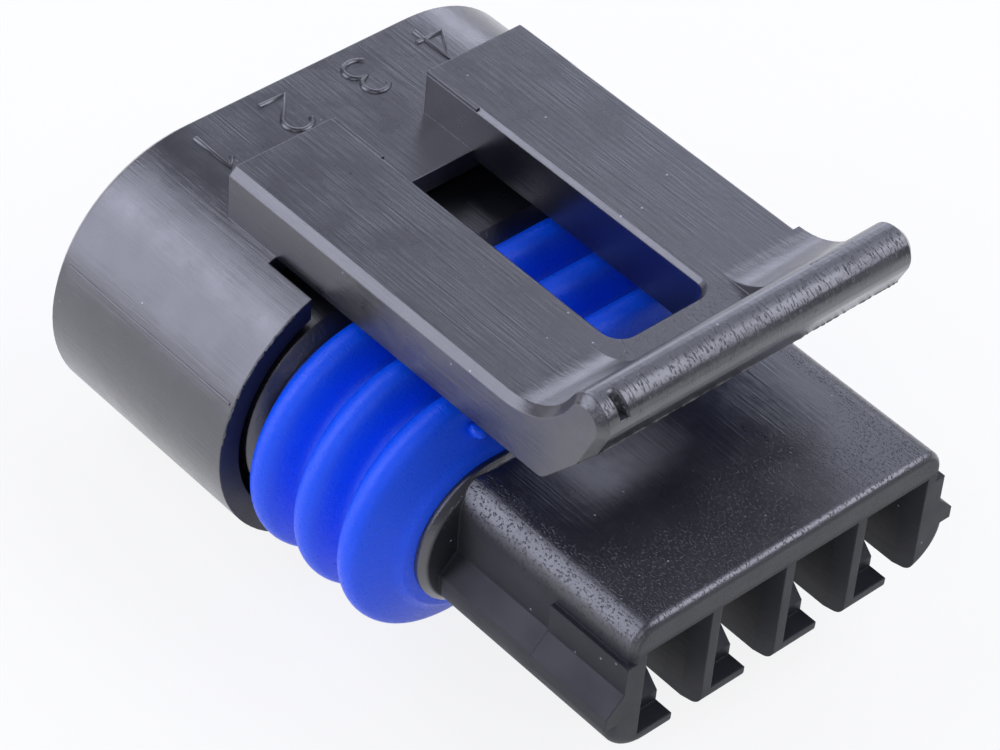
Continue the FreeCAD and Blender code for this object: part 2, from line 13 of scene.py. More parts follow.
import bmesh
import bpy
from mathutils import Matrix, Vector


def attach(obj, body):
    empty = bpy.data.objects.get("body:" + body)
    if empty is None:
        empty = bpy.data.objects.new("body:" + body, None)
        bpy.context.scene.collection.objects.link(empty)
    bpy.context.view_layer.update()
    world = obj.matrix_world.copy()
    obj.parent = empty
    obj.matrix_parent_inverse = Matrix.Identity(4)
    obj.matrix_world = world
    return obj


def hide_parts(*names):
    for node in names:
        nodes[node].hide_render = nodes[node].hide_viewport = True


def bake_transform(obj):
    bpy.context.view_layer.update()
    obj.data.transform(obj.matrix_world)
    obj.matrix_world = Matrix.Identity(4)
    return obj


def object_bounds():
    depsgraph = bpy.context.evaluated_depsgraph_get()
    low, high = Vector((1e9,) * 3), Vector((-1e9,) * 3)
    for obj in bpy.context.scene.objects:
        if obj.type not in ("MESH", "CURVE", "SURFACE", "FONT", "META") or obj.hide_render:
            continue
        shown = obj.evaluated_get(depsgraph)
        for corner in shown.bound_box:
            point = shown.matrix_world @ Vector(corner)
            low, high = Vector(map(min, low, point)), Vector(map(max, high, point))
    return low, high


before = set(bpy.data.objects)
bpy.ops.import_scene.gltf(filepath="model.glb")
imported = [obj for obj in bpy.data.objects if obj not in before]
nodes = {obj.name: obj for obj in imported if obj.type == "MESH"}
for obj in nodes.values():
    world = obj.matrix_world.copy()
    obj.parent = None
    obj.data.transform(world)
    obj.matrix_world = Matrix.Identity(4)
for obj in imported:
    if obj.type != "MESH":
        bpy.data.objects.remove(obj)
CAD_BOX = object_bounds()
MM = 0.001
print("CAD box in mm:", [[round(v / MM, 2) for v in corner] for corner in CAD_BOX])

# %% [markdown]
# ## Camera
# A long lens from the front left, well above the connector, as in the
# photograph. The place and the three angles come from a fit to edges whose
# sizes are known. Azimuth 0 looks along +Y, so -45 looks from the front left.

# %% Camera
CAMERA_PLACE = Vector((-90.75, -72.55, 116.92)) * MM
CAMERA_AZIMUTH = math.radians(-45.40)
CAMERA_ELEVATION = math.radians(42.65)
CAMERA_ROLL = math.radians(5.51)
FOCAL_LENGTH = 150.06
SENSOR_WIDTH = 36.0

back = Vector((math.sin(CAMERA_AZIMUTH) * math.cos(CAMERA_ELEVATION),
               -math.cos(CAMERA_AZIMUTH) * math.cos(CAMERA_ELEVATION),
               math.sin(CAMERA_ELEVATION)))
level = Vector((math.cos(CAMERA_AZIMUTH), math.sin(CAMERA_AZIMUTH), 0))
upright = back.cross(level)
right = level * math.cos(CAMERA_ROLL) + upright * math.sin(CAMERA_ROLL)
up = back.cross(right)
camera_data = bpy.data.cameras.new("camera")
camera_data.lens = FOCAL_LENGTH
camera_data.sensor_width = SENSOR_WIDTH
camera_data.clip_start = 0.01
camera_data.clip_end = 10.0
camera = bpy.data.objects.new("camera", camera_data)
axes = Matrix((right, up, back)).transposed().to_4x4()
camera.matrix_world = Matrix.Translation(CAMERA_PLACE) @ axes
bpy.context.scene.collection.objects.link(camera)
bpy.context.scene.camera = camera
print("camera axes:", [[round(v, 4) for v in axis] for axis in (right, up, back)])

# %% [markdown]
# ## Colours and nodes
# Colours are written as sRGB hex, the way a paint program shows them, and one
# function turns them to the linear values that Blender mixes. One more
# function adds a node with its settings and its links. The settings that come
# up again and again get a name, so that a line of nodes reads like a sum.

# %% Colour and node helpers
SMOOTHLY = {"interpolation_type": "SMOOTHSTEP"}
COLOURS = {"data_type": "RGBA"}
TIMES = {"operation": "MULTIPLY"}
TIMES_PLUS = {"operation": "MULTIPLY_ADD"}
PLUS = {"operation": "ADD"}
LARGER = {"operation": "MAXIMUM"}
WITHOUT_SIGN = {"operation": "ABSOLUTE"}


def linear(hex_colour):
    """Linear RGBA of an sRGB hex colour."""
    parts = [int(hex_colour[i:i + 2], 16) / 255 for i in (1, 3, 5)]
    return [v / 12.92 if v <= 0.04045 else ((v + 0.055) / 1.055) ** 2.4 for v in parts] + [1.0]


def new_material(name):
    """An empty node material."""
    material = bpy.data.materials.new(name)
    material.use_nodes = True
    material.node_tree.nodes.clear()
    return material


def add_node(tree, kind, settings=None, inputs=None):
    """Adds a node. A value in inputs is a number, a colour or another node's output."""
    node = tree.nodes.new("ShaderNode" + kind)
    for key, value in (settings or {}).items():
        setattr(node, key, value)
    for key, value in (inputs or {}).items():
        if isinstance(value, bpy.types.NodeSocket):
            tree.links.new(value, node.inputs[key])
        else:
            node.inputs[key].default_value = value
    return node


print("linear value of mid grey:", round(linear("#808080")[0], 3))

# %% [markdown]
# ## Black nylon
# The housing is glass-filled nylon, moulded in a steel tool. Nylon has an IOR
# of 1.53 and its black is deep, so nearly all of its tone comes from what it
# mirrors. Where the tool was polished by hand, fine scratches run along the
# connector and leave faint streaks about 0.16 mm apart. Where the tool was
# spark-eroded, on the nose tip and its rounded edges, the crest of the thumb
# bar and the web before it, the surface has a sparkling grain, with flecks
# about 0.08 mm wide and 0.16 mm long. Both are heights for a bump, and a mask
# worked out from the place on the part says which is where. Smudges from
# handling make the streaks patchy and the gloss uneven, and a few specks of
# dust lie on it.

# %% Scales of the nylon surface
STREAK_APART = 0.16 * MM
STREAK_LENGTH = 5.0 * MM
SCRATCH_HEIGHT = 0.024 * MM
GRAIN_WIDTH = 0.075 * MM
GRAIN_LENGTH = 0.16 * MM
GRAIN_HEIGHT = 0.026 * MM
SMUDGE_SIZE = 2.2 * MM
DUST_APART = 1.3 * MM
EDGE_ROUND = 0.09 * MM
print("streaks per mm:", round(MM / STREAK_APART, 1),
      "grains per mm:", round(MM / GRAIN_WIDTH, 1))


# %% Streaks and grain as bumps
def streaks_and_grain(tree, place, smudge, mask, grain_length):
    """The bumped normal: patchy streaks, and grain where the mask is 1."""
    stretched = add_node(tree, "Mapping", inputs={
        0: place, "Scale": (1 / STREAK_APART, 1 / STREAK_LENGTH, 1 / STREAK_APART)})
    streaks = add_node(tree, "TexNoise", inputs={
        "Vector": stretched.outputs[0], "Scale": 1.0, "Detail": 4.0, "Roughness": 0.7})
    patchy = add_node(tree, "MapRange", SMOOTHLY, {0: smudge, 1: 0.30, 2: 0.70, 3: 0.25, 4: 1.0})
    streak_level = add_node(tree, "Math", TIMES, {0: streaks.outputs[0], 1: patchy.outputs[0]})
    cells = add_node(tree, "Mapping", inputs={
        0: place, "Scale": (1 / GRAIN_WIDTH, 1 / grain_length, 1 / grain_length)})
    grain = add_node(tree, "TexNoise", inputs={
        "Vector": cells.outputs[0], "Scale": 1.0, "Detail": 2.0, "Roughness": 0.6})
    flecks = add_node(tree, "MapRange", SMOOTHLY, {0: grain.outputs[0], 1: 0.56, 2: 0.70})
    grain_level = add_node(tree, "Math", TIMES, {0: flecks.outputs[0], 1: mask})
    soft_edge = add_node(tree, "Bevel", {"samples": 4}, {"Radius": EDGE_ROUND})
    scratched = add_node(tree, "Bump", inputs={
        "Strength": 1.0, "Distance": SCRATCH_HEIGHT, "Height": streak_level.outputs[0],
        "Normal": soft_edge.outputs[0]})
    grained = add_node(tree, "Bump", inputs={
        "Strength": 1.0, "Distance": GRAIN_HEIGHT, "Height": grain_level.outputs[0],
        "Normal": scratched.outputs[0]})
    return grained.outputs[0]


# %% [markdown]
# A moulding has a thin skin of pure resin that mirrors more sharply than the
# filled nylon under it. A coat stands for that skin. Some faces of the housing
# have a matt finish instead: there the coat goes, the surface is rougher and it
# mirrors half as much.

# %% Nylon shader
NYLON_BLACK = "#191a20"
DUST_GREY = "#b9bcc6"
NYLON_ROUGHNESS = 0.30
NYLON_SHINE, MATT_SHINE = 1.0, 0.5
SKIN_WEIGHT = 0.8
GRAIN_ROUGHER = 0.06
MATT_ROUGHER = 0.22


def moulded_nylon(name, grain_mask, grain_length, matt_mask=None):
    """Black nylon with streaks, with grain where grain_mask(tree, place, places) is 1, and
    matt where matt_mask(tree, places) is 1."""
    material = new_material(name)
    tree = material.node_tree
    place = add_node(tree, "TexCoord").outputs["Object"]
    places = add_node(tree, "SeparateXYZ", inputs={0: place})
    mask = grain_mask(tree, place, places)
    smudge = add_node(tree, "TexNoise", inputs={
        "Vector": place, "Scale": 1 / SMUDGE_SIZE, "Detail": 3.0, "Roughness": 0.6}).outputs[0]
    normal = streaks_and_grain(tree, place, smudge, mask, grain_length)
    uneven = add_node(tree, "MapRange", SMOOTHLY, {
        0: smudge, 1: 0.25, 2: 0.75, 3: NYLON_ROUGHNESS - 0.04, 4: NYLON_ROUGHNESS + 0.06})
    rough = add_node(tree, "Math", TIMES_PLUS, {
        0: mask, 1: GRAIN_ROUGHER, 2: uneven.outputs[0]}).outputs[0]
    shine, skin = NYLON_SHINE, SKIN_WEIGHT
    if matt_mask:
        matt = matt_mask(tree, places)
        rough = add_node(tree, "Math", TIMES_PLUS, {
            0: matt, 1: MATT_ROUGHER, 2: rough}).outputs[0]
        shine = add_node(tree, "MapRange", inputs={
            0: matt, 3: NYLON_SHINE, 4: MATT_SHINE}).outputs[0]
        skin = add_node(tree, "MapRange", inputs={0: matt, 3: SKIN_WEIGHT, 4: 0.0}).outputs[0]
    dust = add_node(tree, "TexVoronoi", inputs={"Vector": place, "Scale": 1 / DUST_APART})
    speck = add_node(tree, "MapRange", inputs={
        0: dust.outputs["Distance"], 1: 0.045, 2: 0.03, 3: 0.0, 4: 0.5})
    tint = add_node(tree, "Mix", COLOURS, {
        0: speck.outputs[0], 6: linear(NYLON_BLACK), 7: linear(DUST_GREY)})
    surface = add_node(tree, "BsdfPrincipled", inputs={
        "Base Color": tint.outputs[2], "Roughness": rough, "Normal": normal,
        "IOR": 1.53, "Specular IOR Level": shine,
        "Coat Weight": skin, "Coat Roughness": 0.26, "Coat IOR": 1.5, "Coat Normal": normal})
    add_node(tree, "OutputMaterial", inputs={"Surface": surface.outputs["BSDF"]})
    print(name, "nodes:", len(tree.nodes))
    return material


# %% [markdown]
# ## Where the housing is grained and where it is matt
# The spark-eroded grain starts at the nose tip and thins out along the nose in
# an uneven line, but follows the rounded edges to the core. The flanks of the
# nose, its rails and the faces that look forward are matt. Each mask is worked
# out from the place and the facing alone, so it stays on the part in any view.

# %% Grain on the nose
GRAIN_FADE_START = 1.2 * MM
GRAIN_FADE_END = 5.5 * MM
NOSE_REAR = 10.0 * MM


def on_nose(tree, places):
    """1 on the nose, 0 behind its rear end."""
    nose = add_node(tree, "MapRange", inputs={
        0: places.outputs["Y"], 1: NOSE_REAR + 0.1 * MM, 2: NOSE_REAR})
    return nose.outputs[0]


def nose_tip(tree, place, places):
    """1 at the nose tip and along its rounded edges, fading out in an uneven line."""
    patch = add_node(tree, "TexNoise", inputs={
        "Vector": place, "Scale": 1 / (1.6 * MM), "Detail": 3.0})
    uneven = add_node(tree, "Math", TIMES_PLUS, {0: patch.outputs[0], 1: 5.0 * MM, 2: -2.5 * MM})
    depth = add_node(tree, "Math", PLUS, {0: places.outputs["Y"], 1: uneven.outputs[0]})
    fade = add_node(tree, "MapRange", SMOOTHLY, {
        0: depth.outputs[0], 1: GRAIN_FADE_START, 2: GRAIN_FADE_END, 3: 1.0, 4: 0.0})
    upper = add_node(tree, "MapRange", SMOOTHLY, {
        0: places.outputs["Z"], 1: 1.2 * MM, 2: 2.2 * MM})
    sideways = add_node(tree, "Math", WITHOUT_SIGN, {0: places.outputs["X"]})
    rounded = add_node(tree, "MapRange", SMOOTHLY, {
        0: sideways.outputs[0], 1: 6.9 * MM, 2: 7.3 * MM})
    edge = add_node(tree, "Math", TIMES, {0: rounded.outputs[0], 1: on_nose(tree, places)})
    both = add_node(tree, "Math", LARGER, {0: fade.outputs[0], 1: edge.outputs[0]})
    top = add_node(tree, "Math", TIMES, {0: both.outputs[0], 1: upper.outputs[0]})
    return top.outputs[0]


# %% Matt flanks of the nose
def nose_flanks(tree, places):
    """1 on faces that look forward, and low on the flanks of the nose with their rails."""
    facing = add_node(tree, "NewGeometry").outputs["Normal"]
    facings = add_node(tree, "SeparateXYZ", inputs={0: facing})
    forward = add_node(tree, "MapRange", SMOOTHLY, {
        0: facings.outputs["Y"], 1: -0.75, 2: -0.95, 4: 0.8})
    low = add_node(tree, "MapRange", SMOOTHLY, {
        0: places.outputs["Z"], 1: 2.9 * MM, 2: 1.9 * MM})
    flank = add_node(tree, "Math", TIMES, {0: low.outputs[0], 1: on_nose(tree, places)})
    both = add_node(tree, "Math", LARGER, {0: forward.outputs[0], 1: flank.outputs[0]})
    return both.outputs[0]


nylon_housing = moulded_nylon("nylon_moulded_streaked", nose_tip, GRAIN_LENGTH, nose_flanks)

# %% [markdown]
# ## Where the latch is grained
# On the latch the grain is a band along the front of the bar's crest and the
# web between the window and the bar. Its flecks are longer than the housing's.

# %% Grain on the latch
BAR_CREST_Y = 4.5 * MM
BAR_CREST_Z = 10.8 * MM
WEB_FRONT_Y = 8.9 * MM
WEB_TOP_Z = 9.5 * MM
WEB_HALF_WIDTH = 3.5 * MM
LATCH_GRAIN_LENGTH = 2.2 * GRAIN_LENGTH


def bar_and_web(tree, place, places):
    """1 on a band along the front of the crest and on the web before the window."""
    over = add_node(tree, "MapRange", SMOOTHLY, {
        0: places.outputs["Z"], 1: BAR_CREST_Z + 0.05 * MM, 2: BAR_CREST_Z + 0.35 * MM})
    front = add_node(tree, "MapRange", SMOOTHLY, {
        0: places.outputs["Y"], 1: BAR_CREST_Y + 0.15 * MM, 2: BAR_CREST_Y - 0.1 * MM})
    crest = add_node(tree, "Math", TIMES, {0: over.outputs[0], 1: front.outputs[0]})
    patch = add_node(tree, "TexNoise", inputs={
        "Vector": place, "Scale": 1 / (1.0 * MM), "Detail": 2.0})
    uneven = add_node(tree, "Math", TIMES_PLUS, {0: patch.outputs[0], 1: 1.6 * MM, 2: -0.8 * MM})
    depth = add_node(tree, "Math", PLUS, {0: places.outputs["Y"], 1: uneven.outputs[0]})
    near_web = add_node(tree, "MapRange", SMOOTHLY, {
        0: depth.outputs[0], 1: WEB_FRONT_Y, 2: WEB_FRONT_Y - 0.5 * MM})
    aside = add_node(tree, "Math", WITHOUT_SIGN, {0: places.outputs["X"]})
    amid = add_node(tree, "MapRange", SMOOTHLY, {
        0: aside.outputs[0], 1: WEB_HALF_WIDTH, 2: WEB_HALF_WIDTH - 0.3 * MM})
    low = add_node(tree, "MapRange", SMOOTHLY, {
        0: places.outputs["Z"], 1: WEB_TOP_Z, 2: WEB_TOP_Z - 0.2 * MM})
    web = add_node(tree, "Math", TIMES, {0: near_web.outputs[0], 1: amid.outputs[0]})
    web = add_node(tree, "Math", TIMES, {0: web.outputs[0], 1: low.outputs[0]})
    both = add_node(tree, "Math", LARGER, {0: crest.outputs[0], 1: web.outputs[0]})
    return both.outputs[0]


nylon_latch = moulded_nylon("nylon_moulded_latch", bar_and_web, LATCH_GRAIN_LENGTH)

# %% [markdown]
# ## Blue silicone
# Liquid silicone rubber, cured in a polished tool: an IOR of 1.41, a satin
# skin, a strong blue, and lint and talc that its tacky surface holds. The lint
# is a stretched noise that lifts the surface a little and pales the blue in
# streaks. That pale colour is partly real lint and partly painted highlight,
# the toothed gleam along the rib crests.

# %% Silicone shader
SILICONE_BLUE = "#0354f2"
# Pale streak colour: partly lint, partly a painted highlight of the rib crests.
LINT_AND_HIGHLIGHT_BLUE = "#7f97f4"
LINT_AND_HIGHLIGHT_WIDTH = 0.11 * MM
LINT_AND_HIGHLIGHT_LENGTH = 0.45 * MM
LINT_HEIGHT = 0.030 * MM
SKIN_GRAIN = 0.25 * MM
SKIN_HEIGHT = 0.010 * MM

silicone = new_material("silicone_blue_moulded")
tree = silicone.node_tree
place = add_node(tree, "TexCoord").outputs["Object"]
along = add_node(tree, "Mapping", inputs={
    0: place, "Scale": (1 / LINT_AND_HIGHLIGHT_WIDTH, 1 / LINT_AND_HIGHLIGHT_LENGTH, 1 / LINT_AND_HIGHLIGHT_WIDTH)})
lint_and_highlight_streaks = add_node(tree, "TexNoise", inputs={
    "Vector": along.outputs[0], "Scale": 1.0, "Detail": 5.0, "Roughness": 0.75})
# Mixes the pale streaks into the blue: partly lint, partly painted highlight.
lint_and_highlight_level = add_node(tree, "MapRange", SMOOTHLY, {
    0: lint_and_highlight_streaks.outputs[0], 1: 0.61, 2: 0.78, 3: 0.0, 4: 0.7})
blue = add_node(tree, "Mix", COLOURS, {
    0: lint_and_highlight_level.outputs[0], 6: linear(SILICONE_BLUE), 7: linear(LINT_AND_HIGHLIGHT_BLUE)})
skin = add_node(tree, "TexNoise", inputs={
    "Vector": place, "Scale": 1 / SKIN_GRAIN, "Detail": 4.0, "Roughness": 0.7})
skin_bump = add_node(tree, "Bump", inputs={
    "Strength": 1.0, "Distance": SKIN_HEIGHT, "Height": skin.outputs[0]})
lint_bump = add_node(tree, "Bump", inputs={
    "Strength": 1.0, "Distance": LINT_HEIGHT, "Height": lint_and_highlight_streaks.outputs[0],
    "Normal": skin_bump.outputs[0]})
skin_rough = add_node(tree, "MapRange", inputs={
    0: skin.outputs[0], 1: 0.3, 2: 0.7, 3: 0.24, 4: 0.38})
surface = add_node(tree, "BsdfPrincipled", inputs={
    "Base Color": blue.outputs[2], "Roughness": skin_rough.outputs[0],
    "Normal": lint_bump.outputs[0], "IOR": 1.41, "Specular IOR Level": 0.5})
add_node(tree, "OutputMaterial", inputs={"Surface": surface.outputs["BSDF"]})
print(silicone.name, "nodes:", len(tree.nodes))

# %% [markdown]
# ## Finishes on the CAD nodes
# The housing and the mat seal keep their CAD meshes, because their shapes are
# right as they are. A finish goes in the material slot of a node's mesh.

# %% Finishes on the CAD nodes
for name, material in (("housing", nylon_housing), ("latch", nylon_latch),
                       ("ring_seal", silicone), ("cable_seal", silicone)):
    mesh = nodes[name].data
    mesh.materials.clear()
    mesh.materials.append(material)
    print(name, "is finished in", material.name)


# %% [markdown]
# ## Helpers for new pieces
# A new piece is a mesh in the part's own millimetres, linked at the origin, so
# that it lies where the CAD says and needs no move.

# %% Piece helpers
SMOOTH_BELOW = math.radians(35)


def link_piece(name, mesh, material, body=None):
    """Links a smooth mesh with the given material as a piece, under a body's empty if one is
    given.
    """
    mesh.materials.clear()
    mesh.materials.append(material)
    for polygon in mesh.polygons:
        polygon.use_smooth = True
    obj = bpy.data.objects.new(name, mesh)
    bpy.context.scene.collection.objects.link(obj)
    if body:
        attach(obj, body)
    print(name, "faces:", len(mesh.polygons))
    return obj


def piece_from_bmesh(name, bm, material, body=None):
    """Turns a bmesh into a linked piece."""
    mesh = bpy.data.meshes.new(name)
    bm.to_mesh(mesh)
    bm.free()
    return link_piece(name, mesh, material, body)


def smooth_by_angle(obj, modifier=None):
    """Applies a modifier if one is named, then shades smooth across edges under 35 degrees."""
    bpy.context.view_layer.objects.active = obj
    obj.select_set(True)
    if modifier:
        bpy.ops.object.modifier_apply(modifier=modifier)
    bpy.ops.object.shade_smooth_by_angle(angle=SMOOTH_BELOW)
    obj.select_set(False)


# %% [markdown]
# ## Latch
# The lever bends where its arms join the shell. A copy of the CAD node gets
# extra cuts across the arms near that root. Its arms go on over the blocks of
# the shell as a skin of 0.012 mm, so that no seam shows where the real part is
# one moulding.

# %% Copy of the latch with cuts near its root
BEND_START = 22.2 * MM
BEND_END = 19.5 * MM
BEND_CUTS = 8
ROOT_LENGTH = 3.1 * MM
ROOT_MIDDLE_Z = 7.8 * MM
ARM_MIDDLE = 5.25 * MM
SKIN = 0.012 * MM
CLOSE = 0.01 * MM

bm = bmesh.new()
bm.from_mesh(nodes["latch"].data)
bmesh.ops.remove_doubles(bm, verts=bm.verts, dist=0.001 * MM)
bmesh.ops.dissolve_limit(bm, angle_limit=math.radians(0.6), verts=bm.verts, edges=bm.edges)
for i in range(BEND_CUTS):
    y = BEND_END + (BEND_START - BEND_END) * (i + 0.5) / BEND_CUTS
    parts = bm.verts[:] + bm.edges[:] + bm.faces[:]
    bmesh.ops.bisect_plane(bm, geom=parts, plane_co=(0, y, 0), plane_no=(0, 1, 0), dist=1e-7)
end_caps = [f for f in bm.faces if all(abs(v.co.y - BEND_START) < CLOSE for v in f.verts)]
grown = bmesh.ops.extrude_face_region(bm, geom=end_caps)["geom"]
bmesh.ops.delete(bm, geom=[f for f in end_caps if f.is_valid], context="FACES_ONLY")
bmesh.ops.translate(bm, verts=[g for g in grown if isinstance(g, bmesh.types.BMVert)],
                    vec=(0, ROOT_LENGTH, 0))
for vert in bm.verts:
    if vert.co.y > BEND_START - CLOSE:
        side = 1 if vert.co.x > 0 else -1
        vert.co.x += side * SKIN * (1 if abs(vert.co.x) > ARM_MIDDLE else -1)
        vert.co.z += SKIN * (1 if vert.co.z > ROOT_MIDDLE_Z else -1)
        vert.co.y += SKIN if vert.co.y > BEND_START + 0.1 * MM else 0
latch = piece_from_bmesh("latch_lever", bm, nylon_latch)

# %% [markdown]
# A moulding has no sharp edges, so a bevel of 0.10 mm rounds them and catches
# the light. Blender then averages the shading over a flat face and its bevel,
# which makes the flat look dented. Taking the normal of the largest face at
# each corner keeps the flats flat and leaves the turn to the bevel.

# %% Rounded edges of the latch
rounding = latch.modifiers.new("rounded_edges", "BEVEL")
rounding.width = 0.10 * MM
rounding.segments = 3
rounding.limit_method = "ANGLE"
rounding.angle_limit = math.radians(32)
smooth_by_angle(latch, "rounded_edges")


def keep_flats_flat(mesh, limit):
    """At each corner, shading follows the largest face that meets it within the limit."""
    around = [[] for _ in mesh.vertices]
    for face in mesh.polygons:
        for index in face.vertices:
            around[index].append(face)
    normals = []
    for face in mesh.polygons:
        for index in face.vertices:
            near = [other for other in around[index]
                    if other.normal.angle(face.normal, 0) < limit]
            normals.append(max(near, key=lambda other: other.area).normal.copy())
    mesh.normals_split_custom_set(normals)


keep_flats_flat(latch.data, SMOOTH_BELOW)
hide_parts("latch")
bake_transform(latch)
print("latch faces:", len(latch.data.polygons))

# %% [markdown]
# ## Valley in the thumb bar
# The small notch near the left end of the bar is a soft valley on the real
# part, not a square cut. A saddle fills the cut: an arc round the bar's axis,
# repeated across the notch, that lies flush at both walls and dips between
# them. Its ends are closed, so that it is a solid like its neighbours.

# %% Saddle in the notch
NOTCH_LEFT = -7.1
NOTCH_RIGHT = -6.6
IN_THE_WALLS = 0.03
BAR_AXIS_Y = 4.5
BAR_AXIS_Z = 10.8
BAR_RADIUS = 1.1
VALLEY_DEPTH = 0.42
SADDLE_FROM, SADDLE_TO = 86, 170
SADDLE_INSIDE = 0.3
DIP_FROM, DIP_FADE = 90, 30
ROWS = 13
ARC_STEPS = 18


def saddle_radius(across, turn):
    """Distance from the bar's axis in mm, for across from -1 to 1 and turn in degrees."""
    fade = min(max((turn - DIP_FROM) / DIP_FADE, 0), 1)
    dip = VALLEY_DEPTH * (1 - across * across) ** 2 * fade * fade * (3 - 2 * fade)
    return BAR_RADIUS - 0.01 - dip


bm = bmesh.new()
rows = []
for i in range(ROWS):
    across = 2 * i / (ROWS - 1) - 1
    half = (NOTCH_RIGHT - NOTCH_LEFT) / 2 + IN_THE_WALLS
    x = (NOTCH_LEFT + NOTCH_RIGHT) / 2 + across * half
    turns = [SADDLE_FROM + (SADDLE_TO - SADDLE_FROM) * j / ARC_STEPS for j in range(ARC_STEPS + 1)]
    row = [(turn, saddle_radius(across, turn)) for turn in turns]
    row += [(SADDLE_TO, SADDLE_INSIDE), (SADDLE_FROM, SADDLE_INSIDE)]
    rows.append([bm.verts.new(Vector((x, BAR_AXIS_Y + radius * math.cos(math.radians(turn)),
                                      BAR_AXIS_Z + radius * math.sin(math.radians(turn)))) * MM)
                 for turn, radius in row])
for first, second in zip(rows, rows[1:]):
    for j in range(len(first)):
        k = (j + 1) % len(first)
        bm.faces.new((first[j], first[k], second[k], second[j]))
bm.faces.new(rows[0])
bm.faces.new(rows[-1])
bmesh.ops.recalc_face_normals(bm, faces=bm.faces)
valley = piece_from_bmesh("notch_valley", bm, nylon_latch, "latch")
smooth_by_angle(valley)

# %% [markdown]
# ## Collar seal
# The collar is one section with three round ribs, carried round the oval core.
# The section is drawn here much finer than in the CAD, with soft valleys and a
# lip. Averaging each point of it with its neighbours softens the corners where
# a rib meets its valley, as rubber has them.

# %% Section of the collar
CORE_HALF_WIDTH = 10.3
CORE_HALF_HEIGHT = 3.55
SEAL_FRONT = 10.5
SEAL_REAR = 19.0
IN_THE_CORE = -0.1
RIB_CENTRES = (12.2, 14.92, 17.64)
RIB_HEIGHT = 2.3
RIB_ROUND = 0.85
RIB_TOUCH = 0.62
RIB_SLOPE = 1.95
VALLEY, FRONT_LIP, REAR_LIP = 0.95, 0.55, 1.2


def rib_level(y):
    """Height over the core before the corners are softened, all in mm."""
    if y < SEAL_FRONT + 0.05 or y > SEAL_REAR - 0.02:
        return IN_THE_CORE
    away = min(abs(y - centre) for centre in RIB_CENTRES)
    if away <= RIB_TOUCH:
        level = RIB_HEIGHT - RIB_ROUND + math.sqrt(RIB_ROUND ** 2 - away ** 2)
    else:
        top = RIB_HEIGHT - RIB_ROUND + math.sqrt(RIB_ROUND ** 2 - RIB_TOUCH ** 2)
        level = top - (away - RIB_TOUCH) * RIB_SLOPE
    floor = VALLEY
    if y < RIB_CENTRES[0] - 1.1:
        floor = FRONT_LIP
    if y > RIB_CENTRES[-1] + 1.0:
        floor = REAR_LIP
    return max(level, floor)


# %% Soften the section
STEP = 0.03
SOFTEN_OVER = 5
KEEP_EVERY = 3
count = int(round((SEAL_REAR - SEAL_FRONT) / STEP)) + 1
ys = [SEAL_FRONT + STEP * i for i in range(count)]
raw = [rib_level(y) for y in ys]
soft = []
for i in range(count):
    window = range(max(0, i - SOFTEN_OVER), min(count, i + SOFTEN_OVER + 1))
    soft.append(sum(raw[j] for j in window) / len(window))
section = [(ys[i], soft[i]) for i in range(0, count, KEEP_EVERY)]
section[0] = (SEAL_FRONT, IN_THE_CORE)
section.append((SEAL_REAR, IN_THE_CORE))
print("points in the collar's section:", len(section))


# %% [markdown]
# Rows of points joined by faces are the plainest way to sweep a closed section.
# The sweep adds the small waviness of a rubber part, a sum of five slow waves.

# %% Path round the core
def oval_path(half_width, half_height, straight_steps, end_steps):
    """Points and outward directions round an oval with half-round ends."""
    run = half_width - half_height
    path = []
    for side in (1, -1):
        for i in range(straight_steps):
            x = side * (run - 2 * run * i / straight_steps)
            path.append((Vector((x, 0, side * half_height)), Vector((0, 0, side))))
        for i in range(end_steps):
            turn = math.pi * i / end_steps
            out = Vector((-side * math.sin(turn), 0, side * math.cos(turn)))
            path.append((Vector((-side * run, 0, 0)) + out * half_height, out))
    return path


path = oval_path(CORE_HALF_WIDTH, CORE_HALF_HEIGHT, 40, 44)
print("points round the core:", len(path))

# %% Sweep the collar round the core
WAVES = 5
WAVE_HEIGHT = 0.006
seeded = random.Random(7)
# The third draw of each wave isn't used. It stays, so that the waves stay the same.
waves = [(seeded.uniform(0.5, 2.0), seeded.uniform(0, 6.3), seeded.uniform(0, 6.3))
         for _ in range(WAVES)]
bm = bmesh.new()
rings = []
for number, (point, out) in enumerate(path):
    turn = 2 * math.pi * number / len(path)
    row = []
    for y, height in section:
        wave = sum(math.sin(rate * y + round(rate * 3) * turn + shift) for rate, shift, _ in waves)
        lift = height + (WAVE_HEIGHT * wave if height > 0 else 0)
        row.append(bm.verts.new((point + out * lift + Vector((0, y, 0))) * MM))
    rings.append(row)
for a in range(len(rings)):
    first, second = rings[a], rings[(a + 1) % len(rings)]
    for i in range(len(section) - 1):
        bm.faces.new((first[i], first[i + 1], second[i + 1], second[i]))
bmesh.ops.recalc_face_normals(bm, faces=bm.faces)
collar = piece_from_bmesh("collar_seal", bm, silicone, "shell")
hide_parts("ring_seal")

# %% [markdown]
# ## Gate mark of the collar
# The rubber enters the tool at one point and leaves a small torn stub on the
# front flank of the first rib. A low sphere of rings, pushed about by seeded
# noise, is enough for something half a millimetre wide.

# %% Gate stub
STUB_CENTRE = Vector((-7.05, 10.95, 4.95))
STUB_RADII = (0.32, 0.45, 0.26)
STUB_SHAKE = 0.10

shaken = random.Random(3)
bm = bmesh.new()
bmesh.ops.create_uvsphere(bm, u_segments=14, v_segments=9, radius=1.0)
for vert in bm.verts:
    swell = 1 + shaken.uniform(-STUB_SHAKE, STUB_SHAKE)
    vert.co = (Vector([c * r * swell for c, r in zip(vert.co, STUB_RADII)]) + STUB_CENTRE) * MM
piece_from_bmesh("gate_stub", bm, silicone, "shell")

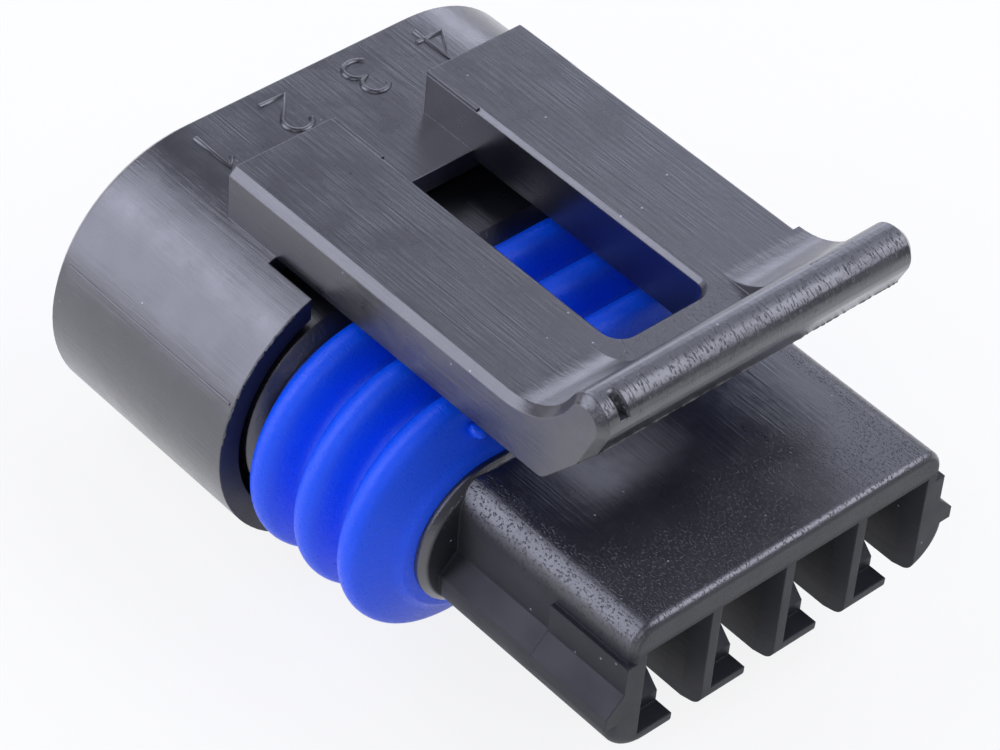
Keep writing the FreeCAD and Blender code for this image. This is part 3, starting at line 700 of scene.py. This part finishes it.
# %% [markdown]
# ## Cavity numbers
# Each cavity has a raised number on the shell, to be read from the wire side.
# A round cutter engraved them in the steel, so on the part they are thin round
# ridges. Here each stroke is a line of points with a round bevel, sunk in the
# shell so that 0.10 mm stands out, and then turned into a mesh.


# %% Strokes of the numbers
def bow(centre, radius, first, last, steps=12):
    """Points on an arc between two angles in degrees."""
    points = []
    for i in range(steps + 1):
        turn = math.radians(first + (last - first) * i / steps)
        points.append((centre[0] + radius[0] * math.cos(turn),
                       centre[1] + radius[1] * math.sin(turn)))
    return points


STROKES = {
    1: [[(-0.45, 0.70), (0.0, 1.15), (0.0, -1.15)]],
    2: [bow((0, 0.52), (0.62, 0.63), 165, -35) + [(-0.66, -1.15), (0.70, -1.15)]],
    3: [bow((0, 0.58), (0.56, 0.57), 150, -90) + bow((0, -0.57), (0.66, 0.58), 90, -150)],
    4: [[(0.30, -1.15), (0.30, 1.15), (-0.70, -0.45), (0.72, -0.45)]],
}
NUMBER_PLACES = {1: -6.2, 2: -2.1, 3: 2.1, 4: 6.0}
NUMBER_MIDDLE_Y = 28.55
SHELL_TOP = 6.9
STROKE_RADIUS = 0.15
STROKE_RAISE = 0.10


# %% Raised lines
def raised_lines(name, lines, radius, material, body):
    """One mesh of round ridges that follow lines of points, all in mm."""
    curve = bpy.data.curves.new(name, "CURVE")
    curve.dimensions = "3D"
    curve.bevel_depth = radius * MM
    curve.bevel_resolution = 2
    curve.use_fill_caps = True
    for points in lines:
        spline = curve.splines.new("POLY")
        spline.points.add(len(points) - 1)
        for target, point in zip(spline.points, points):
            target.co = (*(Vector(point) * MM), 1)
    outline = bpy.data.objects.new("outline", curve)
    bpy.context.scene.collection.objects.link(outline)
    bpy.context.view_layer.update()
    mesh = bpy.data.meshes.new_from_object(outline)
    bpy.data.objects.remove(outline)
    return link_piece(name, mesh, material, body)


stroke_level = SHELL_TOP + STROKE_RAISE - STROKE_RADIUS
for number, lines in STROKES.items():
    turned = [[(NUMBER_PLACES[number] - x, NUMBER_MIDDLE_Y - y, stroke_level) for x, y in line]
              for line in lines]
    raised_lines("number_%d" % number, turned, STROKE_RADIUS, nylon_housing,
                 "shell")

# %% [markdown]
# ## Parting lines, flash and burr
# Where two halves of the tool meet, nylon creeps into the gap. It leaves a fine
# ridge along both sides of the shell, a torn edge under the thumb bar's face, a
# broken line on its crest and a burr round the shell's front edge. All are
# lines of points with seeded shakes, and the torn ones have gaps. They stand
# out by less than 0.1 mm.

# %% Parting ridges on the shell
PARTING_HEIGHT = 2.8
PARTING_START = 19.7
PARTING_STEP = 0.3
PARTING_POINTS = 36
PARTING_SHAKE = 0.012
SHELL_END_CENTRE = 6.0
SHELL_END_RADIUS = 6.9
reach = math.sqrt(SHELL_END_RADIUS ** 2 - PARTING_HEIGHT ** 2)
for name, side in (("right", 1), ("left", -1)):
    x = side * (SHELL_END_CENTRE + reach - 0.03)
    shaken = random.Random(11)
    line = [(x, PARTING_START + PARTING_STEP * i,
             PARTING_HEIGHT + shaken.uniform(-PARTING_SHAKE, PARTING_SHAKE))
            for i in range(PARTING_POINTS)]
    raised_lines("parting_ridge_" + name, [line], 0.07, nylon_housing, "shell")


# %% Torn lines
def torn(points, shake, gap, seed):
    """Pieces of a line through points, shaken and with gaps."""
    shaken = random.Random(seed)
    pieces, piece = [], []
    for point in points:
        piece.append(tuple(Vector(point)
                           + Vector([shaken.uniform(-shake, shake) for _ in range(3)])))
        if shaken.random() < gap and len(piece) > 2:
            pieces.append(piece)
            piece = []
    if len(piece) > 1:
        pieces.append(piece)
    return pieces


def between(start, end, step):
    """Evenly spaced points from start to end."""
    start, end = Vector(start), Vector(end)
    count = int((end - start).length / step)
    return [start.lerp(end, i / count) for i in range(count + 1)]


# %% Flash on the thumb bar
FLASH_RADIUS = 0.055
under_bar = between((-7.5, 3.93, 9.42), (8.5, 3.93, 9.42), 0.12)
on_crest = between((4.3, 4.95, 11.77), (8.3, 4.80, 11.80), 0.16)
for name, line, shake, gap, seed in (("flash_under_bar", under_bar, 0.022, 0.05, 21),
                                     ("flash_on_crest", on_crest, 0.012, 0.10, 5)):
    raised_lines(name, torn(line, shake, gap, seed), FLASH_RADIUS, nylon_latch,
                 "latch")

# %% Burr on the shell's front edge
SHELL_FRONT = 19.5
BURR_RADIUS = 0.06
BURR_FROM, BURR_STEP, BURR_POINTS = 8, 0.8, 68
reach = SHELL_END_RADIUS - 0.05
for name, side in (("right", 1), ("left", -1)):
    arc = []
    for i in range(BURR_POINTS):
        turn = math.radians(BURR_FROM + BURR_STEP * i)
        arc.append((side * (SHELL_END_CENTRE + reach * math.cos(turn)), SHELL_FRONT,
                    reach * math.sin(turn)))
    raised_lines("burr_" + name, torn(arc, 0.028, 0.12, 17), BURR_RADIUS, nylon_housing,
                 "shell")

# %% [markdown]
# ## Floor
# A sheet of white paper under the part. It keeps the part's shadow, but for the
# camera and in reflections it glows a little, so that it comes out white
# without more light on the part.

# %% Floor
FLOOR_HEIGHT = CAD_BOX[0].z
FLOOR_SIZE = 2.0
PAPER_WHITE = "#f4f4f4"
GLOW_SEEN = 0.85
GLOW_MIRRORED = 0.6

bpy.ops.mesh.primitive_plane_add(size=FLOOR_SIZE, location=(0, 0, FLOOR_HEIGHT))
floor = bpy.context.active_object
floor.name = "floor"
white = new_material("paper_white")
tree = white.node_tree
paper = add_node(tree, "BsdfDiffuse", inputs={"Color": linear(PAPER_WHITE)})
glow = add_node(tree, "Emission", inputs={"Color": (1, 1, 1, 1), "Strength": 1.0})
rays = add_node(tree, "LightPath")
mirrored = add_node(tree, "Math", TIMES, {0: rays.outputs["Is Glossy Ray"], 1: GLOW_MIRRORED})
seen = add_node(tree, "Math", TIMES_PLUS, {
    0: rays.outputs["Is Camera Ray"], 1: GLOW_SEEN, 2: mirrored.outputs[0]})
pick = add_node(tree, "MixShader", inputs={
    0: seen.outputs[0], 1: paper.outputs[0], 2: glow.outputs[0]})
add_node(tree, "OutputMaterial", inputs={"Surface": pick.outputs[0]})
floor.data.materials.append(white)
print("floor at", round(FLOOR_HEIGHT / MM, 2), "mm")

# %% [markdown]
# ## Light
# Black nylon shows mostly what it mirrors, so the lamps are large soft boxes.
# The flat tops mirror the box behind straight into the camera, so that one is
# dim. The others stand round the part and above it, and draw the soft gleams on
# its round ends, ribs and edges. The world adds a faint sky, and the camera
# sees plain white behind the floor.

# %% World
SKY_COLOUR = "#eceeff"
SKY_LEVEL = 0.20
world = bpy.data.worlds.new("studio")
bpy.context.scene.world = world
world.use_nodes = True
tree = world.node_tree
tree.nodes.clear()
sky = add_node(tree, "Background", inputs={"Color": linear(SKY_COLOUR), "Strength": SKY_LEVEL})
backdrop = add_node(tree, "Background", inputs={"Color": (1, 1, 1, 1), "Strength": 1.0})
rays = add_node(tree, "LightPath")
pick = add_node(tree, "MixShader", inputs={
    0: rays.outputs["Is Camera Ray"], 1: sky.outputs[0], 2: backdrop.outputs[0]})
add_node(tree, "OutputWorld", inputs={"Surface": pick.outputs[0]})
print("sky level:", SKY_LEVEL)

# %% Soft boxes
LIT_POINT = Vector((0, 0.015, 0))
# name, direction from the part, distance, width and height in metres, brightness, colour
SOFTBOXES = (
    ("softbox_behind", (0.48, 0.57, 0.66), 0.45, 0.30, 0.26, 0.15, "#d9deff"),
    ("softbox_low", (0.56, 0.78, 0.31), 0.50, 0.40, 0.20, 2.3, "#e6e9ff"),
    ("softbox_right", (0.69, 0.16, 0.70), 0.45, 0.38, 0.36, 1.0, "#e3e7ff"),
    ("softbox_front", (0.50, -0.42, 0.72), 0.45, 0.34, 0.32, 3.6, "#ecedff"),
    ("softbox_left", (-0.70, 0.50, 0.34), 0.40, 0.28, 0.36, 2.9, "#e6e8ff"),
    ("softbox_above_left", (-0.32, 0.58, 0.75), 0.45, 0.22, 0.24, 2.6, "#e6e8ff"),
    ("softbox_front_left", (-0.68, -0.42, 0.58), 0.45, 0.26, 0.26, 1.9, "#ecedff"),
)


def soft_lamp(name, direction, distance, width, height, brightness, colour):
    """A softbox seen from the part in that direction. Brightness 1 is paper white."""
    lamp = bpy.data.lights.new(name, "AREA")
    lamp.shape = "RECTANGLE"
    lamp.size = width
    lamp.size_y = height
    lamp.energy = brightness * math.pi * width * height
    lamp.color = linear(colour)[:3]
    obj = bpy.data.objects.new(name, lamp)
    obj.location = LIT_POINT + Vector(direction).normalized() * distance
    obj.rotation_euler = (LIT_POINT - obj.location).to_track_quat("-Z", "Y").to_euler()
    bpy.context.scene.collection.objects.link(obj)
    print(name, "power in W:", round(lamp.energy, 3))


for softbox in SOFTBOXES:
    soft_lamp(*softbox)

# %% [markdown]
# ## Finish
# Standard view keeps every colour as it is written.

# %% Finish
bpy.context.scene.view_settings.view_transform = "Standard"
